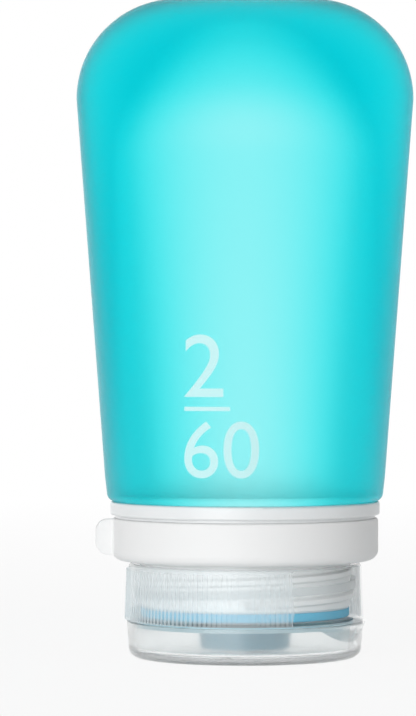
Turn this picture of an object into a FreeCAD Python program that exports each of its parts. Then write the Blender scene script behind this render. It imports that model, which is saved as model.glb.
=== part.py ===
import FreeCAD, Part
import math
import os
from types import SimpleNamespace

import Sketcher
from FreeCAD import Placement, Rotation, Vector

# A squeezable travel bottle that stands on its flip cap. The origin is the centre of the lid's
# outer face, +Z runs up to the closed end, X is the wide way of the body and -Y is the front.

# Lengths in millimetres.
LENGTHS = {
    # Squeeze body
    "overall_height": 114.3,
    "body_half_width": 29.3,
    "body_half_depth": 15.5,
    "body_base_radius": 24.0,
    "body_end_radius": 17.4,
    "body_crown_half_depth": 1.5,
    "body_edge_radius": 1.5,
    "body_wall": 2.4,
    # Lining of the neck and its sealing rim
    "mouth_radius": 14.8,
    "lining_wall": 1.7,
    "rim_thickness": 1.5,
    "rim_inset": 0.2,
    # Heights of the stack, from the lid up to the body
    "lid_height": 6.2,
    "lid_gap": 0.3,
    "skirt_height": 9.7,
    "skirt_gap": 0.65,
    "loop_height": 7.3,
    "groove_height": 0.55,
    "flange_thickness": 2.3,
    # Threaded neck sleeve
    "seat_gap": 0.1,
    "neck_wall": 1.7,
    "spigot_step": 0.7,
    "neck_lip_chamfer": 0.4,
    # Collar ring
    "collar_lip_thickness": 1.4,
    "flange_overhang": 0.25,
    "flange_edge_radius": 0.4,
    "guard_land": 1.25,
    # Hang loop
    "loop_slot": 2.3,
    "loop_thickness": 2.55,
    "loop_edge_radius": 1.8,
    "loop_top_radius": 0.5,
    "loop_gap": 0.4,
    "swing_gap": 0.3,
    "tab_stand": 2.85,
    "tab_thickness": 2.4,
    "tab_lift": 1.0,
    "tab_inset": 0.1,
    "tab_clear": 1.0,
    "tab_top_radius": 2.0,
    "tab_foot_radius": 2.2,
    "tab_root_radius": 0.5,
    # Loop pin and the knuckle round it
    "knuckle_radius": 1.9,
    "pin_radius": 1.0,
    "pin_play": 0.05,
    "pin_head_radius": 1.45,
    "pin_head_height": 0.8,
    "pin_head_gap": 0.2,
    "pin_seat_depth": 1.4,
    # Screw cap
    "skirt_top_radius": 20.2,
    "skirt_foot_radius": 20.55,
    "skirt_edge_chamfer": 0.3,
    "thread_room": 0.9,
    "deck_drop": 1.0,
    "deck_thickness": 1.5,
    "seal_gap": 0.1,
    "lid_fit_gap": 0.3,
    "spout_radius": 8.0,
    "spout_tip_radius": 7.7,
    "spout_gap": 0.4,
    "spout_tip_thickness": 1.0,
    "spout_edge_radius": 0.5,
    "orifice_radius": 4.0,
    "valve_bore_radius": 6.6,
    # Grip ribs
    "rib_rise": 0.4,
    "rib_root": 0.5,
    "rib_lip": 0.8,
    "rib_foot": 0.15,
    # Slit valve and its retainer
    "valve_fit_gap": 0.2,
    "valve_flange_thickness": 1.0,
    "valve_flange_width": 2.0,
    "valve_skin": 0.6,
    "valve_skin_drop": 0.3,
    "valve_rise": 1.0,
    "slit_half_length": 2.6,
    "slit_half_width": 0.1,
    "retainer_wall": 1.4,
    "retainer_flange_radius": 8.6,
    "retainer_flange_thickness": 1.0,
    # Flip lid
    "lid_rim_radius": 20.5,
    "lid_foot_radius": 20.1,
    "lid_wall": 1.4,
    "lid_floor": 1.5,
    "lid_edge_radius": 1.8,
    "lid_inner_radius": 0.8,
    "lip_reach": 21.5,
    "lip_round_radius": 15.0,
    "lip_drop": 3.0,
    "lip_flare": 1.2,
    "plug_radius": 3.4,
    "plug_wall": 1.0,
    "plug_height": 1.7,
    # Living hinge
    "strap_thickness": 0.6,
    "strap_film": 0.3,
    "strap_film_half_height": 0.5,
    "strap_wing": 1.25,
    # How far every cut runs past the solid
    "overrun": 2.0,
}

# Angles in degrees about the bottle's axis, from +X.
ANGLES = {
    "full_angle": 360.0,
    "half_angle": 180.0,
    "thumb_angle": -27.0,
    "loop_turn_angle": 5.0,
    "pin_angle": 20.0,
    "rib_width_angle": 1.2,
    "rib_pitch_angle": 2.4,
    "plain_half_angle": 39.5,
    "hinge_clear_angle": 28.0,
    "strap_angle": 22.0,
}

# The body's sections: even steps up its straight side, then round the quarter turn of its closed end.
SIDE_STEPS = 12
CROWN_ANGLES = (0, 15, 30, 45, 60, 75, 84, 90)

# The middle of a gap or a wall, as a share of it.
MIDDLE_SHARE = 0.5

# Two edges closer than this are the same edge.
NEAR = 0.001


class Length:
    """A length with its value and the sheet formula that it comes from."""

    def __init__(self, value, formula):
        self.value = value
        self.formula = formula

    def __add__(self, other):
        return Length(self.value + other.value, f"({self.formula} + {other.formula})")

    def __sub__(self, other):
        return Length(self.value - other.value, f"({self.formula} - {other.formula})")

    def __mul__(self, share):
        return Length(self.value * share, f"({self.formula} * {share})")

    def __neg__(self):
        return Length(-self.value, f"(-{self.formula})")

    def across(self, angle):
        """Its run across when it leans up by the angle."""
        share = math.cos(math.radians(angle.value))
        return Length(self.value * share, f"({self.formula} * cos({angle.formula} * 1 deg))")

    def up(self, angle):
        """Its rise when it leans up by the angle."""
        share = math.sin(math.radians(angle.value))
        return Length(self.value * share, f"({self.formula} * sin({angle.formula} * 1 deg))")


ZERO = Length(0.0, "0")

doc = FreeCAD.newDocument("travel_bottle")
sheet = doc.addObject("Spreadsheet::Sheet", "Dims")
d = SimpleNamespace()
for row, (alias, number) in enumerate({**LENGTHS, **ANGLES}.items(), start=1):
    sheet.set(f"A{row}", alias)
    sheet.set(f"B{row}", str(number))
    sheet.setAlias(f"B{row}", alias)
    setattr(d, alias, Length(number, f"Dims.{alias}"))
doc.recompute()


# Heights and radii that several pieces share.
def shared_places():
    """Heights above the lid's face and radii from the axis, worked out from the driving sizes."""
    p = SimpleNamespace()
    p.skirt_foot = d.lid_height + d.lid_gap
    p.skirt_top = p.skirt_foot + d.skirt_height
    p.loop_foot = p.skirt_top + d.skirt_gap
    p.loop_top = p.loop_foot + d.loop_height
    p.flange_foot = p.loop_top + d.groove_height
    p.body_foot = p.flange_foot + d.flange_thickness
    p.collar_seat = p.body_foot - d.collar_lip_thickness
    p.deck_face = p.skirt_foot - d.deck_drop
    p.deck_back = p.deck_face + d.deck_thickness
    p.rim_foot = p.deck_back + d.seal_gap
    p.neck_foot = p.rim_foot + d.rim_thickness
    p.spout_tip = d.lid_floor + d.spout_gap
    p.valve_seat = p.spout_tip + d.spout_tip_thickness
    p.seam = d.lid_height + d.lid_gap * MIDDLE_SHARE

    p.lining = d.mouth_radius + d.lining_wall
    p.sleeve_bore = p.lining + d.seat_gap
    p.neck = p.sleeve_bore + d.neck_wall
    p.spigot = p.neck - d.spigot_step
    p.rim = p.neck - d.rim_inset
    p.loop_bore = p.neck + d.loop_slot
    p.loop = p.loop_bore + d.loop_thickness
    p.flange = p.loop + d.flange_overhang
    p.tab = p.loop + d.tab_stand
    p.pivot = p.loop - d.knuckle_radius
    p.pin_eye = d.pin_radius + d.pin_play
    p.skirt_bore = p.neck + d.thread_room
    p.lid_bore = d.lid_rim_radius - d.lid_wall
    p.deck = p.lid_bore - d.lid_fit_gap
    p.strap_bore = d.skirt_foot_radius + d.seat_gap
    p.strap = p.strap_bore + d.strap_thickness
    p.valve = d.valve_bore_radius - d.valve_fit_gap
    return p


p = shared_places()


# Making features
def bind(thing, **places):
    """Tie properties to the sheet. A double underscore in a name stands for a full stop."""
    for name, length in places.items():
        thing.setExpression(name.replace("__", "."), length.formula)


def new_body(label):
    body = doc.addObject("PartDesign::Body", label)
    body.Label = label
    return body


def origin_feature(body, role):
    return next(item for item in body.Origin.OriginFeatures if item.Role == role)


def outline(body, name, plane, points, domes=()):
    """A closed outline whose corners are tied to their two lengths from the sketch's axes.

    The sides listed in domes are arcs about a point on the upright axis, and the rest are straight."""
    sketch = body.newObject("Sketcher::SketchObject", name)
    sketch.AttachmentSupport = (origin_feature(body, plane), [""])
    sketch.MapMode = "FlatFace"
    corners = [Vector(across.value, up.value, 0) for across, up in points]
    count = len(corners)
    for side in range(count):
        start, end = corners[side], corners[(side + 1) % count]
        if side in domes:
            sketch.addGeometry(dome_arc(start, end), False)
            sketch.addConstraint(Sketcher.Constraint("PointOnObject", side, 3, -2))
        else:
            sketch.addGeometry(Part.LineSegment(start, end), False)
    for side in range(count):
        ends = [1, 2] if side not in domes or corners[side].x > corners[(side + 1) % count].x else [2, 1]
        after = (side + 1) % count
        begins = 1 if after not in domes or corners[after].x > corners[(after + 1) % count].x else 2
        sketch.addConstraint(Sketcher.Constraint("Coincident", side, ends[1], after, begins))
        across, up = points[side]
        hold_point(sketch, side, ends[0], across, up)
    return sketch


def dome_arc(start, end):
    """The arc from one corner to the other about a point on the upright axis, drawn from the outer one."""
    outer, inner = (start, end) if start.x > end.x else (end, start)
    height = inner.y - outer.y
    radius = (outer.x * outer.x - inner.x * inner.x + height * height) / (2 * height)
    centre = Vector(0, inner.y - radius, 0)
    return Part.Arc(outer, centre + (outer + inner - centre * 2).normalize() * radius, inner)


def hold_point(sketch, side, end, across, up):
    """Hold one corner at its two lengths from the axes."""
    if across is ZERO:
        sketch.addConstraint(Sketcher.Constraint("PointOnObject", side, end, -2))
    else:
        number = sketch.addConstraint(Sketcher.Constraint("DistanceX", -1, 1, side, end, across.value))
        sketch.setExpression(f"Constraints[{number}]", across.formula)
    if up is ZERO:
        sketch.addConstraint(Sketcher.Constraint("PointOnObject", side, end, -1))
    else:
        number = sketch.addConstraint(Sketcher.Constraint("DistanceY", -1, 1, side, end, up.value))
        sketch.setExpression(f"Constraints[{number}]", up.formula)


def rectangle(left, right, low, high):
    return [(left, low), (right, low), (right, high), (left, high)]


def turn(body, name, points, angle=None, start=None, cut=False, domes=(), back=False, middle=False):
    """Turn an outline of radii and heights about the bottle's axis, to add it or to cut it away.

    A part turn runs from its start angle towards +Y, or back towards -Y, or to both sides of its middle."""
    sketch = outline(body, f"{name}_outline", "XZ_Plane", points, domes)
    if start:
        sketch.AttachmentOffset = Placement(Vector(), Rotation(Vector(0, 1, 0), start.value))
        sketch.setExpression("AttachmentOffset.Rotation.Angle", start.formula)
    feature = body.newObject("PartDesign::Groove" if cut else "PartDesign::Revolution", name)
    feature.Profile = sketch
    feature.ReferenceAxis = (sketch, ["V_Axis"])
    feature.Reversed = back
    feature.Midplane = middle
    bind(feature, Angle=angle or d.full_angle)
    doc.recompute()
    return feature


def primitive(body, kind, name, base, **sizes):
    """A plain solid added to or cut from the body, with its corner or foot at the base point."""
    feature = body.newObject(f"PartDesign::{kind}", name)
    feature.AttachmentSupport = (origin_feature(body, "XY_Plane"), [""])
    feature.MapMode = "FlatFace"
    bind(feature, **sizes)
    for axis, length in zip("xyz", base):
        feature.setExpression(f"AttachmentOffset.Base.{axis}", length.formula)
    doc.recompute()
    return feature


def ring_edges(body, radius, height):
    """The round edges of that radius about the bottle's axis, at that height."""
    found = []
    for number, edge in enumerate(body.Tip.Shape.Edges, start=1):
        curve = edge.Curve
        if curve.TypeId != "Part::GeomCircle":
            continue
        offset = Vector(curve.Center.x, curve.Center.y, curve.Center.z - height.value).Length
        if offset < NEAR and abs(curve.Radius - radius.value) < NEAR:
            found.append(f"Edge{number}")
    return found


def soften(body, name, edges, size, chamfer=False):
    """Round or chamfer edges of the body as it stands."""
    if not edges:
        raise RuntimeError(f"{body.Label}: no edge for {name}")
    base = body.Tip
    feature = body.newObject("PartDesign::Chamfer" if chamfer else "PartDesign::Fillet", name)
    feature.Base = (base, edges)
    bind(feature, **{"Size" if chamfer else "Radius": size})
    doc.recompute()
    return feature


def stand(body, angle, reach=ZERO):
    """Turn a finished piece about the bottle's axis, after moving it out along X by its reach."""
    body.Placement = Placement(Vector(), Rotation(Vector(0, 0, 1), angle.value))
    body.setExpression("Placement.Rotation.Angle", angle.formula)
    body.setExpression("Placement.Base.x", f"{reach.formula} * cos({angle.formula} * 1 deg)")
    body.setExpression("Placement.Base.y", f"{reach.formula} * sin({angle.formula} * 1 deg)")


# Silicone bottle: round at the collar, flattened towards its closed end, with a rounded crown
def body_loft(name, inset, foot):
    """The body's skin, set in by a wall: ellipses up the side and round the crown."""
    sections = []
    crown_foot = d.overall_height - d.body_end_radius

    def section(width, depth, height):
        ellipse = doc.addObject("Part::Ellipse", f"{name}_section_{len(sections)}")
        bind(ellipse, MajorRadius=width, MinorRadius=depth, Placement__Base__z=height)
        sections.append(ellipse)

    for share in (step / SIDE_STEPS for step in range(SIDE_STEPS)):
        width = d.body_base_radius + (d.body_half_width - d.body_base_radius) * share - inset
        depth = d.body_base_radius + (d.body_half_depth - d.body_base_radius) * share - inset
        section(width, depth, foot + (crown_foot - foot) * share)
    for angle in (Length(degrees, str(degrees)) for degrees in CROWN_ANGLES):
        width = d.body_half_width - d.body_end_radius + (d.body_end_radius - inset).across(angle)
        swell = d.body_half_depth - d.body_crown_half_depth - inset
        depth = d.body_crown_half_depth + swell.across(angle)
        section(width, depth, crown_foot + (d.body_end_radius - inset).up(angle))

    loft = doc.addObject("Part::Loft", name)
    loft.Sections = sections
    loft.Solid = True
    doc.recompute()
    rounded = doc.addObject("Part::Fillet", f"{name}_rounded")
    rounded.Base = loft
    foot_edge = next(
        number
        for number, edge in enumerate(loft.Shape.Edges, start=1)
        if edge.BoundBox.ZMax < foot.value + NEAR
    )
    rounded.Edges = [(foot_edge, d.body_edge_radius.value, d.body_edge_radius.value)]
    return rounded


def cylinder(name, radius, foot, top):
    piece = doc.addObject("Part::Cylinder", name)
    bind(piece, Radius=radius, Height=top - foot, Placement__Base__z=foot)
    return piece


def silicone_bottle():
    floor = p.body_foot + d.body_wall
    outside = doc.addObject("Part::MultiFuse", "bottle_outside")
    outside.Shapes = [
        body_loft("bottle_skin", ZERO, p.body_foot),
        cylinder("neck_lining", p.lining, p.rim_foot, floor),
        cylinder("sealing_rim", p.rim, p.rim_foot, p.neck_foot),
    ]
    inside = doc.addObject("Part::MultiFuse", "bottle_inside")
    inside.Shapes = [
        body_loft("bottle_cavity", d.body_wall, floor),
        cylinder("mouth", d.mouth_radius, p.rim_foot - d.overrun, floor + d.overrun),
    ]
    bottle = doc.addObject("Part::Cut", "silicone_bottle")
    bottle.Label = "silicone_bottle"
    bottle.Base = outside
    bottle.Tool = inside
    doc.recompute()
    return bottle


# Neck sleeve: the rigid neck, with a spigot at the top for the collar
def neck_sleeve():
    body = new_body("neck_sleeve")
    turn(body, "sleeve", [
        (p.sleeve_bore, p.neck_foot),
        (p.neck, p.neck_foot),
        (p.neck, p.collar_seat),
        (p.spigot, p.collar_seat),
        (p.spigot, p.body_foot),
        (p.sleeve_bore, p.body_foot),
    ])
    soften(body, "lip", ring_edges(body, p.neck, p.neck_foot), d.neck_lip_chamfer, chamfer=True)
    return body


def pin_place(height):
    """The point of the loop pin's axis at a height."""
    return p.pivot.across(d.pin_angle), p.pivot.up(d.pin_angle), height


# Collar ring: the flange that the body sits on, with the fixed rear part of the hang loop
def collar_ring():
    body = new_body("collar_ring")
    neck_bore = p.neck + d.seat_gap
    spigot_bore = p.spigot + d.seat_gap
    turn(body, "flange", [
        (neck_bore, p.flange_foot),
        (p.flange, p.flange_foot),
        (p.flange, p.body_foot),
        (spigot_bore, p.body_foot),
        (spigot_bore, p.collar_seat),
        (neck_bore, p.collar_seat),
    ])
    for name, height in (("upper_edge", p.body_foot), ("lower_edge", p.flange_foot)):
        soften(body, name, ring_edges(body, p.flange, height), d.flange_edge_radius)
    land = p.loop - d.guard_land
    turn(body, "guard", [
        (p.loop_bore, p.loop_foot),
        (p.loop, p.loop_foot),
        (p.loop, p.loop_top),
        (land, p.loop_top),
        (land, p.flange_foot),
        (p.loop_bore, p.flange_foot),
    ], angle=d.half_angle - d.pin_angle, start=d.pin_angle)
    soften(body, "guard_foot", ring_edges(body, p.loop, p.loop_foot), d.loop_edge_radius)
    soften(body, "guard_top", ring_edges(body, p.loop, p.loop_top), d.loop_top_radius)
    primitive(
        body, "SubtractiveCylinder", "knuckle_room", pin_place(p.loop_foot - d.overrun),
        Radius=d.knuckle_radius + d.swing_gap, Height=p.flange_foot - p.loop_foot + d.overrun,
    )
    primitive(
        body, "SubtractiveBox", "tab_room", (-(p.loop + d.overrun), ZERO, p.loop_foot - d.overrun),
        Length=p.loop, Width=d.loop_gap, Height=p.flange_foot - p.loop_foot + d.overrun,
    )
    primitive(
        body, "SubtractiveCylinder", "pin_seat", pin_place(p.flange_foot - d.overrun),
        Radius=p.pin_eye, Height=d.pin_seat_depth + d.overrun,
    )
    stand(body, d.loop_turn_angle)
    return body


# Loop gate: the front of the hang loop, with a round knuckle on the pin and a pull tab whose inner
# end narrows the slot to the neck, so that a strap stays in
def loop_gate():
    body = new_body("loop_gate")
    section = rectangle(p.loop_bore, p.loop, p.loop_foot, p.loop_top)
    turn(body, "band", section, angle=d.half_angle + d.pin_angle, start=d.pin_angle, back=True)
    soften(body, "band_foot", ring_edges(body, p.loop, p.loop_foot), d.loop_edge_radius)
    soften(body, "band_top", ring_edges(body, p.loop, p.loop_top), d.loop_top_radius)
    tab_foot = p.loop_foot + d.tab_lift
    tab_top = p.loop_top - d.tab_inset
    primitive(
        body, "AdditiveBox", "tab", (-p.tab, -d.tab_thickness, tab_foot),
        Length=p.tab - p.neck - d.tab_clear, Width=d.tab_thickness, Height=tab_top - tab_foot,
    )
    soften(body, "tab_top", tab_corner_edges(body, tab_top), d.tab_top_radius)
    soften(body, "tab_foot", tab_corner_edges(body, tab_foot), d.tab_foot_radius)
    soften(body, "tab_root", tab_root_edges(body), d.tab_root_radius)
    primitive(
        body, "AdditiveCylinder", "knuckle", pin_place(p.loop_foot),
        Radius=d.knuckle_radius, Height=d.loop_height,
    )
    primitive(
        body, "SubtractiveCylinder", "pin_eye", pin_place(p.loop_foot - d.overrun),
        Radius=p.pin_eye, Height=d.loop_height + d.overrun + d.overrun,
    )
    primitive(
        body, "SubtractiveCylinder", "pin_head_room", pin_place(p.loop_foot - d.overrun),
        Radius=d.pin_head_radius + d.pin_head_gap,
        Height=d.overrun + d.pin_head_height + d.pin_head_gap + d.pin_head_gap,
    )
    stand(body, d.loop_turn_angle)
    return body


def tab_corner_edges(body, height):
    """The edge at the far end of the tab that runs through its thickness at a height."""
    found = []
    for number, edge in enumerate(body.Tip.Shape.Edges, start=1):
        box = edge.BoundBox
        far = abs(box.XMin + p.tab.value) < NEAR and box.XLength < NEAR
        if far and abs(box.ZMin - height.value) < NEAR and box.ZLength < NEAR:
            found.append(f"Edge{number}")
    return found


def tab_root_edges(body):
    """The upright edge where the front of the tab leaves the band."""
    found = []
    for number, edge in enumerate(body.Tip.Shape.Edges, start=1):
        box = edge.BoundBox
        front = abs(box.YMin + d.tab_thickness.value) < NEAR and box.YLength < NEAR
        outside = -p.loop.value < box.XMin < -p.loop_bore.value and box.XLength < NEAR
        if front and outside and box.ZLength > d.tab_thickness.value:
            found.append(f"Edge{number}")
    return found


# Loop pin: a headed pin, pressed up into the collar
def loop_pin():
    body = new_body("loop_pin")
    head_foot = p.loop_foot + d.pin_head_gap
    head_top = head_foot + d.pin_head_height
    shank_top = p.flange_foot + d.pin_seat_depth - d.pin_play
    turn(body, "pin", [
        (ZERO, head_foot),
        (d.pin_head_radius, head_foot),
        (d.pin_head_radius, head_top),
        (d.pin_radius, head_top),
        (d.pin_radius, shank_top),
        (ZERO, shank_top),
    ])
    stand(body, d.loop_turn_angle + d.pin_angle, p.pivot)
    return body


# Screw cap: skirt, deck and spout in one, with grip ribs all round but at the thumb and the hinge
def skirt_radius(height):
    """The tapered skirt's outer radius at a height."""
    share = (height.value - p.skirt_foot.value) / d.skirt_height.value
    fall = (d.skirt_foot_radius - d.skirt_top_radius).formula
    part = f"({(height - p.skirt_foot).formula} / {d.skirt_height.formula})"
    value = d.skirt_foot_radius.value + (d.skirt_top_radius.value - d.skirt_foot_radius.value) * share
    return Length(value, f"({d.skirt_foot_radius.formula} - {fall} * {part})")


def screw_cap():
    body = new_body("screw_cap")
    turn(body, "cap", [
        (d.orifice_radius, p.spout_tip),
        (d.spout_tip_radius, p.spout_tip),
        (d.spout_radius, p.deck_face),
        (p.deck, p.deck_face),
        (p.deck, p.skirt_foot),
        (d.skirt_foot_radius, p.skirt_foot),
        (d.skirt_top_radius, p.skirt_top),
        (p.skirt_bore, p.skirt_top),
        (p.skirt_bore, p.deck_back),
        (d.valve_bore_radius, p.deck_back),
        (d.valve_bore_radius, p.valve_seat),
        (d.orifice_radius, p.valve_seat),
    ])
    soften(body, "spout_edge", ring_edges(body, d.spout_tip_radius, p.spout_tip), d.spout_edge_radius)
    rim = ring_edges(body, d.skirt_top_radius, p.skirt_top)
    soften(body, "skirt_edge", rim, d.skirt_edge_chamfer, chamfer=True)
    grip_ribs(body)
    stand(body, d.thumb_angle)
    return body


def grip_ribs(body):
    """Upright ribs round the skirt, from one side of the thumb panel to the other, cleared at the hinge."""
    foot = p.skirt_foot + d.rib_foot
    top = p.skirt_top - d.rib_lip
    rib = turn(body, "rib", [
        (skirt_radius(foot) - d.rib_root, foot),
        (skirt_radius(foot) + d.rib_rise, foot),
        (skirt_radius(top) + d.rib_rise, top),
        (skirt_radius(top) - d.rib_root, top),
    ], angle=d.rib_width_angle, start=d.plain_half_angle + d.rib_pitch_angle * MIDDLE_SHARE, middle=True)
    span = d.full_angle - d.plain_half_angle - d.plain_half_angle
    count = int(span.value / d.rib_pitch_angle.value)
    ribs = body.newObject("PartDesign::PolarPattern", "ribs")
    ribs.Originals = [rib]
    ribs.Axis = (origin_feature(body, "Z_Axis"), [""])
    ribs.Occurrences = count
    bind(ribs, Angle=d.rib_pitch_angle * (count - 1))
    body.Tip = ribs
    doc.recompute()
    high = p.skirt_top + d.overrun
    low = p.skirt_foot
    past = d.skirt_foot_radius + d.overrun
    turn(body, "hinge_panel", [
        (-skirt_radius(low), low),
        (-past, low),
        (-past, high),
        (-skirt_radius(high), high),
    ], angle=d.hinge_clear_angle, cut=True, middle=True)


# Slit valve: a soft disc with a thick rim and a domed skin, cut across both ways
def spout_valve():
    body = new_body("spout_valve")
    rim_bore = p.valve - d.valve_flange_width
    rim_top = p.valve_seat + d.valve_flange_thickness
    skin_foot = p.valve_seat + d.valve_skin_drop
    skin_crown = skin_foot + d.valve_rise
    turn(body, "disc", [
        (rim_bore, p.valve_seat),
        (p.valve, p.valve_seat),
        (p.valve, rim_top),
        (rim_bore, rim_top),
        (ZERO, skin_crown + d.valve_skin),
        (ZERO, skin_crown),
        (rim_bore, skin_foot),
    ], domes=(3, 5))
    slit = outline(body, "slit_outline", "XY_Plane", cross(d.slit_half_length, d.slit_half_width))
    cut = body.newObject("PartDesign::Pocket", "slit")
    cut.Profile = slit
    cut.Type = "ThroughAll"
    cut.Reversed = True
    doc.recompute()
    stand(body, d.thumb_angle)
    return body


def cross(reach, half_width):
    """The twelve corners of a plus sign, one arm after another."""
    arms = [(1, 0), (0, 1), (-1, 0), (0, -1)]
    corners = []
    for along, up in arms:
        for side in (-1, 1):
            across = reach * along - half_width * (side * up)
            corners.append((across, reach * up + half_width * (side * along)))
        corners.append((half_width * (along - up), half_width * (up + along)))
    return corners


# Valve retainer: a flanged ring that holds the valve down in the spout
def valve_retainer():
    body = new_body("valve_retainer")
    bore = p.valve - d.retainer_wall
    foot = p.valve_seat + d.valve_flange_thickness + d.seat_gap
    flange_foot = p.deck_back + d.seat_gap
    flange_top = flange_foot + d.retainer_flange_thickness
    turn(body, "retainer", [
        (bore, foot),
        (p.valve, foot),
        (p.valve, flange_foot),
        (d.retainer_flange_radius, flange_foot),
        (d.retainer_flange_radius, flange_top),
        (bore, flange_top),
    ])
    stand(body, d.thumb_angle)
    return body


# Flip lid: a shallow cup with a flared thumb lip and a plug that closes the spout
def flip_lid():
    body = new_body("flip_lid")
    turn(body, "cup", [
        (ZERO, ZERO),
        (d.lid_foot_radius, ZERO),
        (d.lid_rim_radius, d.lid_height),
        (ZERO, d.lid_height),
    ])
    soften(body, "foot_edge", ring_edges(body, d.lid_foot_radius, ZERO), d.lid_edge_radius)
    lip_foot = d.lid_height - d.lip_drop
    primitive(
        body, "AdditiveCone", "thumb_lip", (d.lip_reach - d.lip_round_radius, ZERO, lip_foot),
        Radius1=d.lip_round_radius - d.lip_flare, Radius2=d.lip_round_radius, Height=d.lip_drop,
    )
    turn(body, "hollow", [
        (ZERO, d.lid_floor),
        (p.lid_bore, d.lid_floor),
        (p.lid_bore, d.lid_height + d.overrun),
        (ZERO, d.lid_height + d.overrun),
    ], cut=True)
    soften(body, "floor_edge", ring_edges(body, p.lid_bore, d.lid_floor), d.lid_inner_radius)
    plug_bore = d.plug_radius - d.plug_wall
    plug_top = d.lid_floor + d.plug_height
    turn(body, "plug", rectangle(plug_bore, d.plug_radius, d.lid_floor * MIDDLE_SHARE, plug_top))
    stand(body, d.thumb_angle)
    return body


# Hinge strap: two wings and a thin film across the seam, opposite the thumb lip
def hinge_strap():
    body = new_body("hinge_strap")
    film_foot = p.seam - d.strap_film_half_height
    film_top = p.seam + d.strap_film_half_height
    film_bore = p.strap - d.strap_film
    turn(body, "strap", [
        (-p.strap, film_foot - d.strap_wing),
        (-p.strap, film_top + d.strap_wing),
        (-p.strap_bore, film_top + d.strap_wing),
        (-p.strap_bore, film_top),
        (-film_bore, film_top),
        (-film_bore, film_foot),
        (-p.strap_bore, film_foot),
        (-p.strap_bore, film_foot - d.strap_wing),
    ], angle=d.strap_angle, middle=True)
    stand(body, d.thumb_angle)
    return body


pieces = [
    silicone_bottle(),
    neck_sleeve(),
    collar_ring(),
    loop_gate(),
    loop_pin(),
    screw_cap(),
    spout_valve(),
    valve_retainer(),
    flip_lid(),
    hinge_strap(),
]
doc.recompute()

for item in doc.Objects:
    if "Invalid" in item.State or "Error" in item.State:
        raise RuntimeError(f"{item.Label}: {item.State}")
for piece in pieces:
    if piece.Shape.isNull() or not piece.Shape.isValid():
        raise RuntimeError(f"{piece.Label}: bad shape")

os.makedirs("parts", exist_ok=True)
for piece in pieces:
    piece.Shape.exportStep(f"parts/{piece.Label}.step")
    print(f"{piece.Label}: {len(piece.Shape.Solids)} solid, {piece.Shape.Volume:.1f} mm3")
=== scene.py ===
"""Looks of a squeezable silicone travel bottle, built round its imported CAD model."""

import math

import bmesh
import bpy
from bpy.props import FloatProperty, FloatVectorProperty, IntProperty, PointerProperty, StringProperty
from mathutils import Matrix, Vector


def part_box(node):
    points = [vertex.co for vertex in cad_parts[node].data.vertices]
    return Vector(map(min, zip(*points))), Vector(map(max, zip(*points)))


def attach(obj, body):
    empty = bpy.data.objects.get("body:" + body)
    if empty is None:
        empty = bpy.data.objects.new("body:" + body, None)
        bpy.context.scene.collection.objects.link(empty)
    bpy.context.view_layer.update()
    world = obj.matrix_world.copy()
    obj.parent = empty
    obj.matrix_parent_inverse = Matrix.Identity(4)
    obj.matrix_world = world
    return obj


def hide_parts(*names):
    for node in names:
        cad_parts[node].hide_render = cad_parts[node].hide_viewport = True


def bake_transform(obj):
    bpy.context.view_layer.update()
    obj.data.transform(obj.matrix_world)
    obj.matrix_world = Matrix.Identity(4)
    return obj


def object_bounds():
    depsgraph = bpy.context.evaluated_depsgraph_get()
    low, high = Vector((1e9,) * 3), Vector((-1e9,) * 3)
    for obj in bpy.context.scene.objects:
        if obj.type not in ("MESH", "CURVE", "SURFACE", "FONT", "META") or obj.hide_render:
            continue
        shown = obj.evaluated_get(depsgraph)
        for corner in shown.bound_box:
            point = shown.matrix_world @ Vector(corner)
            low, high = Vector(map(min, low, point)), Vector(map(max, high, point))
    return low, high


bl_info = {
    "name": "Travel bottle",
    "version": (1, 0, 0),
    "blender": (4, 5, 0),
    "location": "3D View > Sidebar > Bottle",
    "description": "Dresses the packed model of a silicone travel bottle",
    "category": "Object",
}

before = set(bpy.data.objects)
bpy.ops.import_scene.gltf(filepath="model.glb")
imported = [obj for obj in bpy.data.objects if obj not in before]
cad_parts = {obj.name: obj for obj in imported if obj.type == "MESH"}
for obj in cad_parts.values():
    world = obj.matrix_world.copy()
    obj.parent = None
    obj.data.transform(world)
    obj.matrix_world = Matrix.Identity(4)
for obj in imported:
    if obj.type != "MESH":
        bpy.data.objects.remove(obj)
CAD_LOW, CAD_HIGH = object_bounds()

# Lengths below are in metres, written as millimetres times this.
MM = 0.001

# Two faces that rest on each other are drawn this far apart.
HAIR = 0.02 * MM

# Points round the oval body, and round the threaded pieces.
BODY_STEPS = 144
TURN_STEPS = 120

# Rows of points up each stretch of the body, and along the arcs of its edge and its sealing rim.
BODY_ROWS = 24
EDGE_STEPS = 8
RIM_STEPS = 4

# The hollow's dome stops just short of its pole, where a flat closes it.
DOME_END = math.radians(88)

# The print is cut into strips this wide, to lie on the curved face.
PRINT_STRIP = 1.0 * MM

# A thread grows out of its wall within this many points.
THREAD_FADE = TURN_STEPS // 8

# Rows of points up the hinge strap, and points across it.
STRAP_ROWS = 24
STRAP_STEPS = 8

# The cap's materials after its frosted one, in the order in which its node holds them. The spout's and the deck's are
# painted shade: the cap's own plastic, darker and blue-grey.
SPOUT_SHADE, THUMB_PANEL, DECK_SHADE = 1, 2, 3

# A face is upright if its normal is at least this level, and faces up if its normal rises by more than this.
UPRIGHT = 0.9
FACES_UP = 0.5

# The image that the camera frames, in pixels, and the width of its sensor, in its own millimetres.
IMAGE_WIDTH, IMAGE_HEIGHT = 416, 716
SENSOR_WIDTH = 36

WHITE = (1.0, 1.0, 1.0, 1.0)
BLACK = (0.0, 0.0, 0.0, 1.0)


def linear(code):
    """A colour from its sRGB hex code, in linear light."""
    shares = [int(code[at:at + 2], 16) / 255 for at in (0, 2, 4)]
    return [share / 12.92 if share <= 0.04045 else ((share + 0.055) / 1.055) ** 2.4 for share in shares]


def length(name, description, default):
    return FloatProperty(name=name, description=description, default=default, min=0, unit="LENGTH", precision=5)


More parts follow.
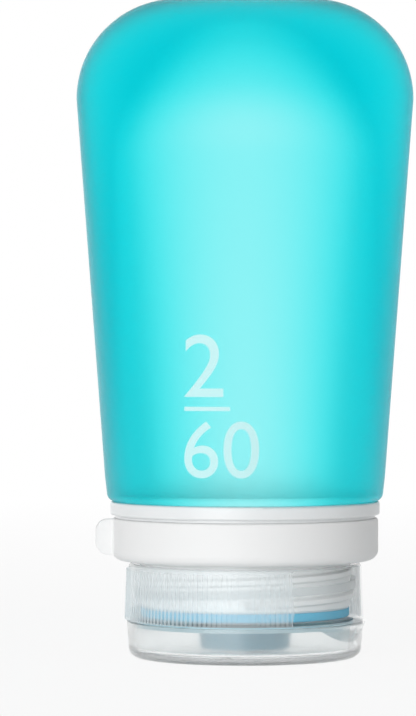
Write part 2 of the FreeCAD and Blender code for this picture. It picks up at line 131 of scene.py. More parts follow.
def angle(name, description, degrees):
    return FloatProperty(name=name, description=description, default=math.radians(degrees), min=0, subtype="ANGLE")


def part_of(name, description, default):
    return FloatProperty(name=name, description=description, default=default, min=0, max=1, subtype="FACTOR")


def place(name, description, default):
    return FloatVectorProperty(
        name=name, description=description, default=default, size=3, subtype="TRANSLATION", unit="LENGTH"
    )


def colour(name, description, code):
    return FloatVectorProperty(
        name=name, description=description, default=linear(code), size=3, min=0, max=1, subtype="COLOR"
    )


# Settings that a user would change
class BottleShape(bpy.types.PropertyGroup):
    """Sizes of the silicone body that the CAD boxes don't give."""

    base_radius: length("Base radius", "Radius of the body's round foot, before its edge is rounded", 24.0 * MM)
    half_depth: length("Half depth", "Half the body's depth at the foot of its crown", 15.5 * MM)
    end_radius: length("End radius", "Radius of the closed end's corners, seen from the front", 17.4 * MM)
    crown_half_depth: length("Crown half depth", "Half the depth of the flat along the crown", 1.5 * MM)
    edge_round: length("Edge round", "Round of the body's edge above the collar", 1.5 * MM)
    face_wall: length("Face wall", "Wall of the broad faces at the crown's foot", 2.65 * MM)
    foot_face_wall: length("Foot face wall", "Wall of the broad faces at the collar", 2.15 * MM)
    side_wall: length("Side wall", "Wall of the narrow sides at the crown's foot", 7.5 * MM)
    foot_side_wall: length("Foot side wall", "Wall of the narrow sides at the collar", 5.6 * MM)
    crown_wall: length("Crown wall", "Wall of the closed end", 5.3 * MM)
    floor_wall: length("Floor wall", "Wall round the mouth, over the collar", 0.35 * MM)
    dome_height: length("Dome height", "Height of the dome that closes the inside", 22.0 * MM)
    mouth_radius: length("Mouth radius", "Inside of the silicone that lines the neck", 14.8 * MM)
    lining_wall: length("Lining wall", "Wall of the silicone that lines the neck", 1.7 * MM)
    rim_round: length("Rim round", "Round of the sealing rim", 0.4 * MM)
    rim_inset: length("Rim inset", "How far the sealing rim stands back from the neck", 0.2 * MM)


class BottleThread(bpy.types.PropertyGroup):
    """The rigid neck, and the thread between it and the cap."""

    pitch: length("Pitch", "Rise of the thread in one turn", 4.0 * MM)
    rise: length("Rise", "Height of a thread above its wall", 0.6 * MM)
    crest: length("Crest", "Width of a thread along its top", 0.7 * MM)
    root: length("Root", "Width of a thread at its wall", 1.5 * MM)
    start: length("Start", "Height at which the neck's thread begins", 10.0 * MM)
    turns: FloatProperty(name="Turns", description="Turns of the neck's thread", default=1.3, min=0.25)
    cap_turns: FloatProperty(name="Cap turns", description="Turns of the cap's thread", default=1.0, min=0.25)
    cap_gap: length("Cap gap", "Between the neck and the bore of the cap", 0.9 * MM)
    lining_gap: length("Lining gap", "Between the neck and the silicone that lines it", 0.1 * MM)
    lead_in: length("Lead-in", "Chamfer at the neck's mouth", 0.4 * MM)
    spigot_height: length("Spigot height", "Height of the neck's end in the collar", 1.4 * MM)
    spigot_step: length("Spigot step", "How far that end stands back from the neck", 0.7 * MM)


class BottleLip(bpy.types.PropertyGroup):
    """The lip under the collar's flange, which closes the groove over the loop."""

    inset: length("Inset", "How far the lip stands back from the loop", 0.6 * MM)
    wall: length("Wall", "Thickness of the lip", 0.4 * MM)
    gap: length("Gap", "Between the lip and the loop", 0.05 * MM)
    flange_share: part_of("Flange share", "Share of the loop's reach beyond which the collar is all flange", 0.9)


class BottleCap(bpy.types.PropertyGroup):
    """Where the cap's finishes and its painted shade meet."""

    thumb_half_angle: angle("Thumb panel", "Half the angle of the panel that has no ribs", 39.5)
    spout_share: part_of("Spout share", "Share of the skirt's radius within which the spout lies", 0.6)
    skirt_share: part_of("Skirt share", "Share of the skirt's radius beyond which its wall lies", 0.8)


class BottleHinge(bpy.types.PropertyGroup):
    """The living hinge between cap and lid."""

    half_angle: angle("Half angle", "Half the angle that the strap takes up round the cap", 11)
    film_half: length("Film half height", "Half the height of the thin film that bends", 0.5 * MM)
    film: length("Film", "Thickness of that film", 0.3 * MM)
    fade: length("Fade", "Height within which the film grows into a wing", 0.3 * MM)


class BottlePrint(bpy.types.PropertyGroup):
    """The printed capacity figures."""

    upper: StringProperty(name="Upper figure", description="Plain figure above the bar", default="2")
    lower: StringProperty(name="Lower figure", description="Plain figure below the bar", default="60")
    left: FloatProperty(name="Left", description="Left edge of the print", default=-10.2 * MM, unit="LENGTH")
    upper_base: length("Upper base", "Height of the upper figure's foot", 45.4 * MM)
    upper_height: length("Upper height", "Height of the upper figure", 10.5 * MM)
    bar_height: length("Bar height", "Height of the bar's middle", 43.4 * MM)
    bar_length: length("Bar length", "Length of the bar", 7.7 * MM)
    bar_width: length("Bar width", "Width of the bar", 0.7 * MM)
    lower_base: length("Lower base", "Height of the lower figure's foot", 31.8 * MM)
    lower_height: length("Lower height", "Height of the lower figure", 9.5 * MM)
    film: length("Film", "Thickness of the ink", 0.06 * MM)


class BottleColours(bpy.types.PropertyGroup):
    """Colours of the pieces and of the stage, and painted shade on the cap's spout and deck."""

    silicone: colour("Silicone", "What light keeps on its way through the silicone", "2DF7F9")
    silicone_density: FloatProperty(
        name="Silicone density", description="Absorption in the silicone, per metre", default=280, min=0
    )
    rim: colour("Rim", "Sealing rim of the silicone, seen against the cap", "14BCE4")
    ink: colour("Ink", "Printed figures", "C9F6F7")
    collar: colour("Collar", "White polypropylene of the collar", "EFF1F2")
    loop: colour("Loop", "White satin elastomer of the loop", "F4F4F4")
    frosted: colour("Frosted", "Natural polypropylene of the cap", "E9F0F2")
    # Painted shade: the spout is the cap's own natural polypropylene, painted darker and blue-grey for the shade it
    # stands in under the lid.
    spout: colour("Spout", "Spout of the cap, thick and shaded by the lid", "5F9CB0")
    # Painted shade: the deck is the cap's own natural polypropylene, painted darker and blue-grey for the shaded band
    # where it stands in the lid.
    deck_shade: colour("Deck", "Deck of the cap, which stands in the lid", "A6C8D2")
    neck: colour("Neck", "Natural polypropylene of the neck", "F6F8F8")
    clear: colour("Clear", "Clear polypropylene of the lid", "FDFFFF")
    valve: colour("Valve", "Soft silicone of the valve", "7FB4C0")
    steel: colour("Steel", "Stainless pin", "B9BCC0")
    floor: colour("Floor", "Floor under the bottle", "FAFAFA")


class BottleStage(bpy.types.PropertyGroup):
    """Camera, light and floor."""

    distance: length("Camera distance", "From the bottle's axis to the camera", 611 * MM)
    eye_height: length("Camera height", "Height of the level camera", 54.3 * MM)
    focal_pixels: FloatProperty(
        name="Focal length", description="Focal length in image pixels", default=3513, min=1, subtype="PIXEL"
    )
    axis_column: IntProperty(
        name="Axis column", description="Image column of the bottle's axis", default=245, subtype="PIXEL"
    )
    horizon_row: IntProperty(
        name="Horizon row", description="Image row at the camera's height", default=344, subtype="PIXEL"
    )
    key_power: FloatProperty(name="Key", description="Power of the key lamp", default=5.7, min=0, subtype="POWER")
    back_power: FloatProperty(name="Back", description="Power of the lamp behind", default=0.8, min=0, subtype="POWER")
    room: FloatProperty(name="Room", description="Light that the room gives to matt surfaces", default=0.4, min=0)
    key_place: place("Key place", "Where the key lamp stands", (-0.36, -0.93, 0.15))
    back_place: place("Back place", "Where the lamp behind stands", (-0.5, 0.85, 0.3))
    lamp_side: length("Lamp side", "Side of the square lamps", 700 * MM)
    floor_reach: length("Floor reach", "How far the floor runs each way", 12000 * MM)
    fade_start: length("Fade start", "Distance from the bottle at which the floor begins to run out", 100 * MM)
    fade_end: length("Fade end", "Distance from the bottle at which the floor has run out", 600 * MM)
    floor_clear: part_of("Floor clear", "Share of the floor that the camera sees through at the bottle", 0.88)


class BottleSettings(bpy.types.PropertyGroup):
    """All the settings of the bottle."""

    shape: PointerProperty(type=BottleShape)
    thread: PointerProperty(type=BottleThread)
    lip: PointerProperty(type=BottleLip)
    cap: PointerProperty(type=BottleCap)
    hinge: PointerProperty(type=BottleHinge)
    print: PointerProperty(type=BottlePrint)
    colours: PointerProperty(type=BottleColours)
    stage: PointerProperty(type=BottleStage)


def settings():
    return bpy.context.scene.travel_bottle


# Materials
def add_node(tree, kind, inputs=None, **choices):
    """Add a node with its choices set, and its inputs set or linked by name or number."""
    node = tree.nodes.new(kind)
    for name, choice in choices.items():
        setattr(node, name, choice)
    for name, value in (inputs or {}).items():
        if isinstance(value, bpy.types.NodeSocket):
            tree.links.new(value, node.inputs[name])
        else:
            node.inputs[name].default_value = value
    return node


def new_material(name):
    material = bpy.data.materials.new(name)
    material.use_nodes = True
    material.node_tree.nodes.clear()
    return material, material.node_tree


def grain(tree, size):
    """Noise whose spots are about this size, and stay where they are on the piece."""
    point = add_node(tree, "ShaderNodeTexCoord").outputs["Object"]
    return add_node(tree, "ShaderNodeTexNoise", {"Vector": point, "Scale": 1 / size, "Detail": 3.0}).outputs["Fac"]


def uneven_sheen(tree, spot, low, high):
    """Roughness that wanders between two values, in spots of about this size."""
    limits = {"Value": grain(tree, spot), "To Min": low, "To Max": high}
    return add_node(tree, "ShaderNodeMapRange", limits).outputs["Result"]


def mould_relief(tree, spot, depth):
    """The unevenness that a mould leaves, in spots of about this size and of this depth."""
    return add_node(tree, "ShaderNodeBump", {"Height": grain(tree, spot), "Distance": depth}).outputs["Normal"]


def opaque(shade):
    return (*shade, 1.0)


def silicone_rubber_moulded():
    """Platinum-cured silicone from a bead-blasted mould: a satin skin, and colour that deepens with the wall.

    Its index is below the 1.41 of clear silicone, because the matt skin keeps the edges from shining.
    """
    shades = settings().colours
    material, tree = new_material("silicone_rubber_moulded")
    # The pits that blasting leaves are finer than a pixel, so they are drawn this coarse.
    blasting = 0.6 * MM
    surface = add_node(tree, "ShaderNodeBsdfPrincipled", {
        "Base Color": WHITE,
        "Roughness": uneven_sheen(tree, blasting, low=0.36, high=0.44),
        "IOR": 1.25,
        "Specular Tint": BLACK,
        "Transmission Weight": 1.0,
        "Normal": mould_relief(tree, blasting, depth=0.01 * MM),
    })
    inside = add_node(tree, "ShaderNodeVolumeAbsorption", {
        "Color": opaque(shades.silicone),
        "Density": shades.silicone_density,
    })
    add_node(tree, "ShaderNodeOutputMaterial", {"Surface": surface.outputs[0], "Volume": inside.outputs[0]})
    return material


def silicone_rim_moulded():
    """The same silicone where it is thick and shaded: matt, and no light comes through the sealing rim."""
    material, tree = new_material("silicone_rim_moulded")
    surface = add_node(tree, "ShaderNodeBsdfPrincipled", {
        "Base Color": opaque(settings().colours.rim),
        "Roughness": uneven_sheen(tree, 0.6 * MM, low=0.45, high=0.55),
        "IOR": 1.41,
        "Specular IOR Level": 0.0,
    })
    add_node(tree, "ShaderNodeOutputMaterial", {"Surface": surface.outputs[0]})
    return material


def silicone_ink_printed():
    """Pad-printed silicone ink: a thin matt film, a little uneven in cover."""
    material, tree = new_material("silicone_ink_printed")
    surface = add_node(tree, "ShaderNodeBsdfPrincipled", {
        "Base Color": opaque(settings().colours.ink),
        "Roughness": uneven_sheen(tree, 0.4 * MM, low=0.6, high=0.75),
        "IOR": 1.43,
    })
    add_node(tree, "ShaderNodeOutputMaterial", {"Surface": surface.outputs[0]})
    return material


def plastic_moulded(name, shade, roughness, alpha=1.0):
    """Injection-moulded plastic, mostly polypropylene: waxy, with faint flow marks, and see-through if left natural."""
    material, tree = new_material(name)
    flow = 0.05
    surface = add_node(tree, "ShaderNodeBsdfPrincipled", {
        "Base Color": opaque(shade),
        "Roughness": uneven_sheen(tree, 3 * MM, low=roughness - flow, high=roughness + flow),
        "IOR": 1.49,
        "Subsurface Weight": 0.3,
        "Subsurface Radius": (1.0, 1.0, 1.0),
        "Subsurface Scale": 1.5 * MM,
        "Alpha": alpha,
        "Normal": mould_relief(tree, 0.5 * MM, depth=0.01 * MM),
    })
    add_node(tree, "ShaderNodeOutputMaterial", {"Surface": surface.outputs[0]})
    return material


def polypropylene_clear_moulded():
    """Clarified polypropylene from a polished mould: clear, with soft flow lines."""
    material, tree = new_material("polypropylene_clear_moulded")
    flow_line = 4 * MM
    surface = add_node(tree, "ShaderNodeBsdfPrincipled", {
        "Base Color": opaque(settings().colours.clear),
        "Roughness": uneven_sheen(tree, flow_line, low=0.14, high=0.2),
        "IOR": 1.4,
        "Transmission Weight": 0.88,
        "Normal": mould_relief(tree, flow_line, depth=0.02 * MM),
    })
    add_node(tree, "ShaderNodeOutputMaterial", {"Surface": surface.outputs[0]})
    return material


def stainless_steel_drawn():
    """Drawn stainless wire: bright, with an uneven sheen. Its marks are finer, and drawn coarser to show."""
    material, tree = new_material("stainless_steel_drawn")
    surface = add_node(tree, "ShaderNodeBsdfPrincipled", {
        "Base Color": opaque(settings().colours.steel),
        "Metallic": 1.0,
        "Roughness": uneven_sheen(tree, 0.3 * MM, low=0.25, high=0.4),
    })
    add_node(tree, "ShaderNodeOutputMaterial", {"Surface": surface.outputs[0]})
    return material


# Meshes
def between(start, end, share):
    return start + (end - start) * share


def oval_ring(half_width, half_depth, height, steps=BODY_STEPS):
    turns = (2 * math.pi * step / steps for step in range(steps))
    return [Vector((half_width * math.cos(turn), half_depth * math.sin(turn), height)) for turn in turns]


def skin_rings(mesh, rings, closed=False):
    """Faces between each ring of points and the next. A closed skin joins the last ring to the first."""
    made = [[mesh.verts.new(point) for point in ring] for ring in rings]
    pairs = list(zip(made, made[1:]))
    if closed:
        pairs.append((made[-1], made[0]))
    for lower, upper in pairs:
        count = len(lower)
        for at in range(count):
            after = (at + 1) % count
            mesh.faces.new((lower[at], lower[after], upper[after], upper[at]))
    return made


def turned_ring_mesh(profile):
    """A ring turned from a closed profile of radii and heights."""
    mesh = bmesh.new()
    skin_rings(mesh, [oval_ring(radius, radius, height, TURN_STEPS) for radius, height in profile], closed=True)
    return mesh


def arc_points(centre_across, centre_up, radius, start, end, steps):
    """Points of an arc in a profile, as lengths across and up."""
    turns = (math.radians(start + (end - start) * step / steps) for step in range(steps + 1))
    return [(centre_across + radius * math.cos(turn), centre_up + radius * math.sin(turn)) for turn in turns]


def new_piece(name, mesh, material, body, sharp_angle=35):
    """Turn a built mesh into a smooth piece that rides on a CAD body."""
    bmesh.ops.recalc_face_normals(mesh, faces=mesh.faces)
    data = bpy.data.meshes.new(name)
    mesh.to_mesh(data)
    mesh.free()
    data.shade_smooth()
    data.set_sharp_from_angle(angle=math.radians(sharp_angle))
    data.materials.append(material)
    piece = bpy.data.objects.new(name, data)
    bpy.context.scene.collection.objects.link(piece)
    if body:
        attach(piece, body)
    return piece


def finish_node(name, *finishes):
    """Give a CAD node its materials. Every face starts with the first one."""
    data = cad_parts[name].data
    data.materials.clear()
    for material in finishes:
        data.materials.append(material)


class BodyLaw:
    """The silicone body's outline: round at its foot, an oval at the crown's foot, then the rounded crown."""

    def __init__(self):
        shape = settings().shape
        low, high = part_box("silicone_bottle")
        self.shape = shape
        self.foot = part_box("collar_ring")[1].z
        self.top = high.z
        self.rim_foot = low.z
        self.half_width = high.x
        self.base = shape.base_radius
        self.crown_foot = high.z - shape.end_radius

    def share(self, height):
        """How far up the side a height is: 0 at the foot, 1 at the foot of the crown."""
        return (height - self.foot) / (self.crown_foot - self.foot)

    def side(self, height):
        """Half width and half depth at a height up the side, and that height."""
        share = self.share(height)
        return between(self.base, self.half_width, share), between(self.base, self.shape.half_depth, share), height

    def crown(self, turn):
        """Half width, half depth and height at an angle round the crown."""
        shape = self.shape
        width = self.half_width - shape.end_radius * (1 - math.cos(turn))
        depth = between(shape.crown_half_depth, shape.half_depth, math.cos(turn))
        return width, depth, self.crown_foot + shape.end_radius * math.sin(turn)

    def inside(self, height):
        """Half width and half depth of the hollow at a height, below the dome that closes it."""
        shape = self.shape
        side_wall = between(shape.foot_side_wall, shape.side_wall, self.share(height))
        face_wall = between(shape.foot_face_wall, shape.face_wall, self.share(height))
        width, depth, _ = self.side(height)
        return width - side_wall, depth - face_wall, height

    def dome(self, turn):
        """Half width, half depth and height of the hollow at an angle round its dome."""
        top = self.top - self.shape.crown_wall
        width, depth, foot = self.inside(top - self.shape.dome_height)
        return width * math.cos(turn), depth * math.cos(turn), between(foot, top, math.sin(turn))

    def face_depth(self, across, height):
        """How far the front face stands from the axis."""
        width, depth, _ = self.side(height)
        return depth * math.sqrt(1 - (across / width) ** 2)


def silicone_body_mesh(law):
    """One closed skin: up the outside, and back down the inside through the neck."""
    shape = law.shape
    shares = [row / BODY_ROWS for row in range(BODY_ROWS + 1)]
    floor = law.foot + shape.floor_wall
    dome_foot = law.top - shape.crown_wall - shape.dome_height
    rows = [law.dome(DOME_END * share) for share in reversed(shares)]
    rows += [law.inside(between(floor, dome_foot, share)) for share in reversed(shares[:-1])]

    lining = shape.mouth_radius + shape.lining_wall
    rim_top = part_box("neck_sleeve")[0].z - HAIR
    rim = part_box("neck_sleeve")[1].x - shape.rim_inset
    rim_centre = law.rim_foot + shape.rim_round
    neck = [(shape.mouth_radius, floor)]
    neck += arc_points(shape.mouth_radius + shape.rim_round, rim_centre, shape.rim_round, 180, 270, RIM_STEPS)
    neck += arc_points(rim - shape.rim_round, rim_centre, shape.rim_round, -90, 0, RIM_STEPS)
    neck += [(rim, rim_top), (lining, rim_top), (lining, law.foot + HAIR)]
    edge_centre = law.base - shape.edge_round
    neck += arc_points(edge_centre, law.foot + HAIR + shape.edge_round, shape.edge_round, -90, 0, EDGE_STEPS)
    rows += [(radius, radius, height) for radius, height in neck]

    low = law.foot + shape.edge_round
    rows += [law.side(between(low, law.crown_foot, share)) for share in shares[1:-1]]
    rows += [law.crown(math.pi / 2 * share) for share in shares]

    mesh = bmesh.new()
    made = skin_rings(mesh, [oval_ring(*row) for row in rows])
    mesh.faces.new(made[0])
    mesh.faces.new(made[-1])
    return mesh


def figure_mesh(text, height):
    """Flat mesh of plain figures with their foot and left edge at zero, as tall as given."""
    curve = bpy.data.curves.new("figures", "FONT")
    curve.body = text
    words = bpy.data.objects.new("figures", curve)
    bpy.context.scene.collection.objects.link(words)
    data = bpy.data.meshes.new_from_object(words.evaluated_get(bpy.context.evaluated_depsgraph_get()))
    bpy.data.objects.remove(words)
    mesh = bmesh.new()
    mesh.from_mesh(data)
    low = Vector(min(vert.co[axis] for vert in mesh.verts) for axis in range(3))
    high = Vector(max(vert.co[axis] for vert in mesh.verts) for axis in range(3))
    scale = height / (high.y - low.y)
    for vert in mesh.verts:
        vert.co = (vert.co - low) * scale
    return mesh


def wrap_on_front(mesh, law, left, base, film):
    """Cut a flat mesh into narrow strips and lay it on the body's front face."""
    wide = max(vert.co.x for vert in mesh.verts)
    for strip in range(1, math.ceil(wide / PRINT_STRIP)):
        geometry = mesh.verts[:] + mesh.edges[:] + mesh.faces[:]
        bmesh.ops.bisect_plane(mesh, geom=geometry, plane_co=(strip * PRINT_STRIP, 0, 0), plane_no=(1, 0, 0))
    for vert in mesh.verts:
        across, height = left + vert.co.x, base + vert.co.y
        vert.co = (across, -law.face_depth(across, height) - film, height)


def add_thread(mesh, wall, rise, turns, phase):
    """A helical ridge on a round wall, faded out at both ends. A negative rise points inwards."""
    thread = settings().thread
    steps = int(turns * TURN_STEPS)
    rows = []
    for step in range(steps + 1):
        turn = 2 * math.pi * step / TURN_STEPS
        grown = min(1, step / THREAD_FADE, (steps - step) / THREAD_FADE)
        height = thread.start + thread.pitch * step / TURN_STEPS
        tip = wall + rise * grown
        sunk = wall - math.copysign(2 * HAIR, rise)
        across = [(sunk, -thread.root), (tip, -thread.crest), (tip, thread.crest), (sunk, thread.root)]
        way = Vector((math.cos(turn + phase), math.sin(turn + phase), 0))
        rows.append([way * radius + Vector((0, 0, height + offset / 2)) for radius, offset in across])
    made = skin_rings(mesh, rows)
    mesh.faces.new(made[0])
    mesh.faces.new(made[-1])


def hinge_way():
    """The angle round from +X at which the hinge strap stands."""
    points = [vert.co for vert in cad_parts["hinge_strap"].data.vertices]
    return math.atan2(sum(point.y for point in points), sum(point.x for point in points))


def hinge_strap_mesh():
    """A strap of even sections across the seam: thick wings on cap and lid, and a thin film between them."""
    hinge = settings().hinge
    low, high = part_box("hinge_strap")
    seam = (low.z + high.z) / 2
    half_height = (high.z - low.z) / 2
    reaches = [vert.co.xy.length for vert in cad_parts["hinge_strap"].data.vertices]
    outer, inner = max(reaches), min(reaches)
    way = hinge_way()
    rows = []
    for row in range(STRAP_ROWS + 1):
        up = between(-half_height, half_height, row / STRAP_ROWS)
        wing = max(0, min(1, (abs(up) - hinge.film_half) / hinge.fade))
        bore = between(outer - hinge.film, inner, wing)
        ring = []
        for radius, order in ((outer, range(STRAP_STEPS + 1)), (bore, range(STRAP_STEPS, -1, -1))):
            for at in order:
                turn = way + between(-hinge.half_angle, hinge.half_angle, at / STRAP_STEPS)
                ring.append(Vector((radius * math.cos(turn), radius * math.sin(turn), seam + up)))
        rows.append(ring)
    mesh = bmesh.new()
    made = skin_rings(mesh, rows)
    mesh.faces.new(made[0])
    mesh.faces.new(made[-1])
    return mesh, seam, (outer + inner) / 2


# Pieces
class SiliconeBody(bpy.types.Operator):
    """Make the squeeze body with its neck lining and sealing rim"""

    bl_idname = "travel_bottle.silicone_body"
    bl_label = "Silicone body"

    def execute(self, context):
        mesh = silicone_body_mesh(BodyLaw())
        piece = new_piece("silicone_body", mesh, silicone_rubber_moulded(), "bottle", sharp_angle=50)
        piece.data.materials.append(silicone_rim_moulded())
        rim_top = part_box("neck_sleeve")[0].z
        for face in piece.data.polygons:
            face.material_index = int(face.center.z < rim_top)
        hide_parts("silicone_bottle")
        return {"FINISHED"}


class CapacityMark(bpy.types.Operator):
    """Print plain capacity figures on the front face"""

    bl_idname = "travel_bottle.capacity_mark"
    bl_label = "Capacity mark"

    def execute(self, context):
        mark = settings().print
        law = BodyLaw()
        ink = silicone_ink_printed()
        bar = bmesh.new()
        corners = [(0, 0), (mark.bar_length, 0), (mark.bar_length, mark.bar_width), (0, mark.bar_width)]
        bar.faces.new([bar.verts.new((across, up, 0)) for across, up in corners])
        flats = [
            ("upper_figure", figure_mesh(mark.upper, mark.upper_height), mark.upper_base),
            ("figure_bar", bar, mark.bar_height - mark.bar_width / 2),
            ("lower_figures", figure_mesh(mark.lower, mark.lower_height), mark.lower_base),
        ]
        for name, mesh, base in flats:
            wrap_on_front(mesh, law, mark.left, base, mark.film)
            new_piece(name, mesh, ink, "bottle")
        return {"FINISHED"}


class ThreadedNeck(bpy.types.Operator):
    """Make the rigid neck with its right-hand thread"""

    bl_idname = "travel_bottle.threaded_neck"
    bl_label = "Threaded neck"

    def execute(self, context):
        thread = settings().thread
        shape = settings().shape
        low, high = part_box("neck_sleeve")
        bore = shape.mouth_radius + shape.lining_wall + thread.lining_gap
        seat = high.z - thread.spigot_height
        spigot = high.x - thread.spigot_step
        mesh = turned_ring_mesh([
            (bore, low.z), (high.x - thread.lead_in, low.z), (high.x, low.z + thread.lead_in), (high.x, seat),
            (spigot, seat), (spigot, high.z - HAIR), (bore, high.z - HAIR),
        ])
        add_thread(mesh, high.x, thread.rise, thread.turns, phase=-math.pi / 2)
        material = plastic_moulded("polypropylene_neck_moulded", settings().colours.neck, roughness=0.4)
        piece = new_piece("threaded_neck", mesh, material, "bottle")
        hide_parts("neck_sleeve")
        return {"FINISHED"}


class CollarAndLoop(bpy.types.Operator):
    """Finish the collar ring, the swing-out loop and its pin"""

    bl_idname = "travel_bottle.collar_and_loop"
    bl_label = "Collar and loop"

    def execute(self, context):
        sizes = settings().lip
        shades = settings().colours
        white = plastic_moulded("polypropylene_collar_moulded", shades.collar, roughness=0.35)
        finish_node("collar_ring", white)
        finish_node("loop_gate", plastic_moulded("elastomer_loop_moulded", shades.loop, roughness=0.55))
        finish_node("loop_pin", stainless_steel_drawn())

        gate_low, gate_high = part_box("loop_gate")
        edge = -gate_low.y
        points = [vert.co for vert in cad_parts["collar_ring"].data.vertices]
        flange_foot = min(point.z for point in points if -point.y > edge * sizes.flange_share)
        outer = edge - sizes.inset
        inner = outer - sizes.wall
        lip_foot = gate_high.z + sizes.gap
        mesh = turned_ring_mesh([(inner, flange_foot), (inner, lip_foot), (outer, lip_foot), (outer, flange_foot)])
        lip = new_piece("flange_lip", mesh, white, "bottle")
        return {"FINISHED"}


class ScrewCap(bpy.types.Operator):
    """Finish the ribbed cap and give it its inner thread"""

    bl_idname = "travel_bottle.screw_cap"
    bl_label = "Screw cap"

    def execute(self, context):
        thread, cap, shades = settings().thread, settings().cap, settings().colours
        frosted = plastic_moulded("polypropylene_frosted_moulded", shades.frosted, roughness=0.38, alpha=0.3)
        # The spout's material is painted shade: a darker, blue-grey copy of the cap's plastic, for the shade under the
        # lid.
        spout = plastic_moulded("polypropylene_spout_painted_shade", shades.spout, roughness=0.38)
        polished = plastic_moulded("polypropylene_polished_moulded", shades.frosted, roughness=0.2, alpha=0.12)
        # The deck's material is painted shade too: a darker, blue-grey copy of the cap's plastic.
        deck_shade = plastic_moulded("polypropylene_deck_painted_shade", shades.deck_shade, roughness=0.38)
        finish_node("screw_cap", frosted, spout, polished, deck_shade)
        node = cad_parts["screw_cap"]
        node.visible_shadow = False

        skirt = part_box("screw_cap")[1].x
        lid_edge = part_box("flip_lid")[1].z
        thumb = Vector((-math.cos(hinge_way()), -math.sin(hinge_way())))
        for face in node.data.polygons:
            reach = face.center.xy.length
            outward = face.normal.xy.dot(face.center.xy) > -HAIR and face.normal.z < FACES_UP
            at_thumb = face.center.xy.normalized().dot(thumb) > math.cos(cap.thumb_half_angle)
            # Outward faces under the lid's edge get painted shade: the spout's within the spout share, the deck's
            # beyond it.
            if outward and face.center.z < lid_edge:
                face.material_index = SPOUT_SHADE if reach < skirt * cap.spout_share else DECK_SHADE
            elif at_thumb and face.normal.xy.length > UPRIGHT and reach > skirt * cap.skirt_share:
                face.material_index = THUMB_PANEL

        mesh = bmesh.new()
        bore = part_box("neck_sleeve")[1].x + thread.cap_gap
        add_thread(mesh, bore, -thread.rise, thread.cap_turns, phase=math.pi / 2)
        piece = new_piece("cap_thread", mesh, frosted, "cap")
        return {"FINISHED"}


class SpoutValve(bpy.types.Operator):
    """Finish the slit valve and the ring that holds it"""

    bl_idname = "travel_bottle.spout_valve"
    bl_label = "Spout valve"

    def execute(self, context):
        shades = settings().colours
        finish_node("spout_valve", plastic_moulded("silicone_valve_moulded", shades.valve, roughness=0.5))
        finish_node("valve_retainer", plastic_moulded("polypropylene_retainer_moulded", shades.neck, roughness=0.4))
        return {"FINISHED"}


class FlipLid(bpy.types.Operator):
    """Finish the clear lid and make the strap that hinges it"""

    bl_idname = "travel_bottle.flip_lid"
    bl_label = "Flip lid"

    def execute(self, context):
        finish_node("flip_lid", polypropylene_clear_moulded())
        mesh, seam, radius = hinge_strap_mesh()
        shade = settings().colours.frosted
        material = plastic_moulded("polypropylene_hinge_moulded", shade, roughness=0.38, alpha=0.7)
        strap = new_piece("living_hinge", mesh, material, None)
        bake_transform(strap)
        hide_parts("hinge_strap")
        return {"FINISHED"}


# Stage
def room_world():
    """A white room: white where the camera, gloss and clear pieces see it, and dimmer as light on matt pieces."""
    world = bpy.data.worlds.new("white_room")
    bpy.context.scene.world = world
    world.use_nodes = True
    tree = world.node_tree
    tree.nodes.clear()
    path = add_node(tree, "ShaderNodeLightPath")
    seen = path.outputs["Is Camera Ray"]
    for kind in ("Is Glossy Ray", "Is Transmission Ray"):
        seen = add_node(tree, "ShaderNodeMath", {0: seen, 1: path.outputs[kind]}, operation="MAXIMUM").outputs[0]
    limits = {"Value": seen, "To Min": settings().stage.room, "To Max": 1.0}
    strength = add_node(tree, "ShaderNodeMapRange", limits).outputs["Result"]
    light = add_node(tree, "ShaderNodeBackground", {"Color": WHITE, "Strength": strength})
    add_node(tree, "ShaderNodeOutputWorld", {"Surface": light.outputs[0]})


def paper_sweep_matt():
    """Thin matt film on a white table: it keeps the shadow, runs out into the room, and hides nothing below it."""
    stage = settings().stage
    material, tree = new_material("paper_sweep_matt")
    paper = add_node(tree, "ShaderNodeBsdfPrincipled", {
        "Base Color": opaque(settings().colours.floor),
        "Roughness": uneven_sheen(tree, 2 * MM, low=0.75, high=0.9),
    })
    clear = add_node(tree, "ShaderNodeBsdfTransparent")
    point = add_node(tree, "ShaderNodeTexCoord").outputs["Object"]
    fade = add_node(tree, "ShaderNodeMapRange", {
        "Value": add_node(tree, "ShaderNodeVectorMath", {0: point}, operation="LENGTH").outputs["Value"],
        "From Min": stage.fade_start,
        "From Max": stage.fade_end,
        "To Min": stage.floor_clear,
        "To Max": 1.0,
    })
    seen = add_node(tree, "ShaderNodeLightPath").outputs["Is Camera Ray"]
    share = add_node(tree, "ShaderNodeMath", {0: fade.outputs["Result"], 1: seen}, operation="MULTIPLY")
    mix = add_node(tree, "ShaderNodeMixShader", {0: share.outputs[0], 1: paper.outputs[0], 2: clear.outputs[0]})
    add_node(tree, "ShaderNodeOutputMaterial", {"Surface": mix.outputs[0]})
    return material


def studio_floor():
    """A pale floor under the bottle."""
    mesh = bmesh.new()
    bmesh.ops.create_grid(mesh, x_segments=1, y_segments=1, size=settings().stage.floor_reach)
    data = bpy.data.meshes.new("studio_floor")
    mesh.to_mesh(data)
    mesh.free()
    data.materials.append(paper_sweep_matt())
    floor = bpy.data.objects.new("studio_floor", data)
    floor.location.z = CAD_LOW.z - HAIR
    floor.visible_shadow = False
    floor.visible_glossy = False
    floor.visible_transmission = False
    bpy.context.scene.collection.objects.link(floor)


def soft_lamp(name, stand, power, seen_through=True):
    """A square lamp that points at the middle of the bottle."""
    light = bpy.data.lights.new(name, "AREA")
    light.energy = power
    light.size = settings().stage.lamp_side
    lamp = bpy.data.objects.new(name, light)
    lamp.location = stand
    lamp.rotation_mode = "QUATERNION"
    lamp.rotation_quaternion = ((CAD_LOW + CAD_HIGH) / 2 - Vector(stand)).to_track_quat("-Z", "Y")
    lamp.visible_transmission = seen_through
    bpy.context.scene.collection.objects.link(lamp)


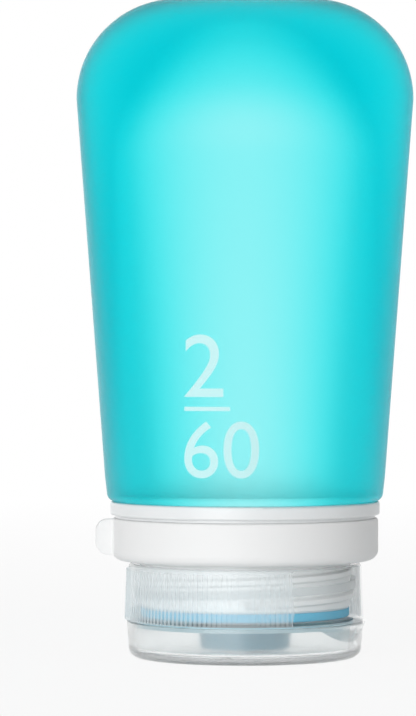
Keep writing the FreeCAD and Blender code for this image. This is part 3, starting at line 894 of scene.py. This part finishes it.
def level_camera():
    """A camera that looks level at the front, framed as the image is."""
    stage = settings().stage
    view = bpy.data.cameras.new("level_camera")
    view.sensor_width = SENSOR_WIDTH
    view.lens = stage.focal_pixels / IMAGE_HEIGHT * view.sensor_width
    view.shift_x = (IMAGE_WIDTH / 2 - stage.axis_column) / IMAGE_HEIGHT
    view.shift_y = (stage.horizon_row - IMAGE_HEIGHT / 2) / IMAGE_HEIGHT
    camera = bpy.data.objects.new("level_camera", view)
    camera.location = (0, -stage.distance, stage.eye_height)
    camera.rotation_euler = (math.pi / 2, 0, 0)
    bpy.context.scene.collection.objects.link(camera)
    bpy.context.scene.camera = camera


class StudioStage(bpy.types.Operator):
    """Set the floor, the room, the lamps and the camera"""

    bl_idname = "travel_bottle.studio_stage"
    bl_label = "Studio stage"

    def execute(self, context):
        stage = settings().stage
        context.scene.view_settings.view_transform = "Standard"
        room_world()
        studio_floor()
        soft_lamp("key_lamp", stage.key_place, stage.key_power)
        soft_lamp("back_lamp", stage.back_place, stage.back_power, seen_through=False)
        level_camera()
        return {"FINISHED"}


class BottlePanel(bpy.types.Panel):
    """Lists the steps that dress the bottle"""

    bl_idname = "VIEW3D_PT_travel_bottle"
    bl_label = "Travel bottle"
    bl_space_type = "VIEW_3D"
    bl_region_type = "UI"
    bl_category = "Bottle"

    def draw(self, context):
        for step in STEPS:
            self.layout.operator(step.bl_idname)


STEPS = (SiliconeBody, CapacityMark, ThreadedNeck, CollarAndLoop, ScrewCap, SpoutValve, FlipLid, StudioStage)
GROUPS = (
    BottleShape, BottleThread, BottleLip, BottleCap, BottleHinge, BottlePrint, BottleColours, BottleStage,
    BottleSettings,
)


def register():
    for kind in (*GROUPS, *STEPS, BottlePanel):
        bpy.utils.register_class(kind)
    bpy.types.Scene.travel_bottle = PointerProperty(type=BottleSettings)


def unregister():
    del bpy.types.Scene.travel_bottle
    for kind in reversed((*GROUPS, *STEPS, BottlePanel)):
        bpy.utils.unregister_class(kind)


def main():
    register()
    bpy.ops.travel_bottle.silicone_body()
    bpy.ops.travel_bottle.capacity_mark()
    bpy.ops.travel_bottle.threaded_neck()
    bpy.ops.travel_bottle.collar_and_loop()
    bpy.ops.travel_bottle.screw_cap()
    bpy.ops.travel_bottle.spout_valve()
    bpy.ops.travel_bottle.flip_lid()
    bpy.ops.travel_bottle.studio_stage()


if __name__ == "__main__":
    main()
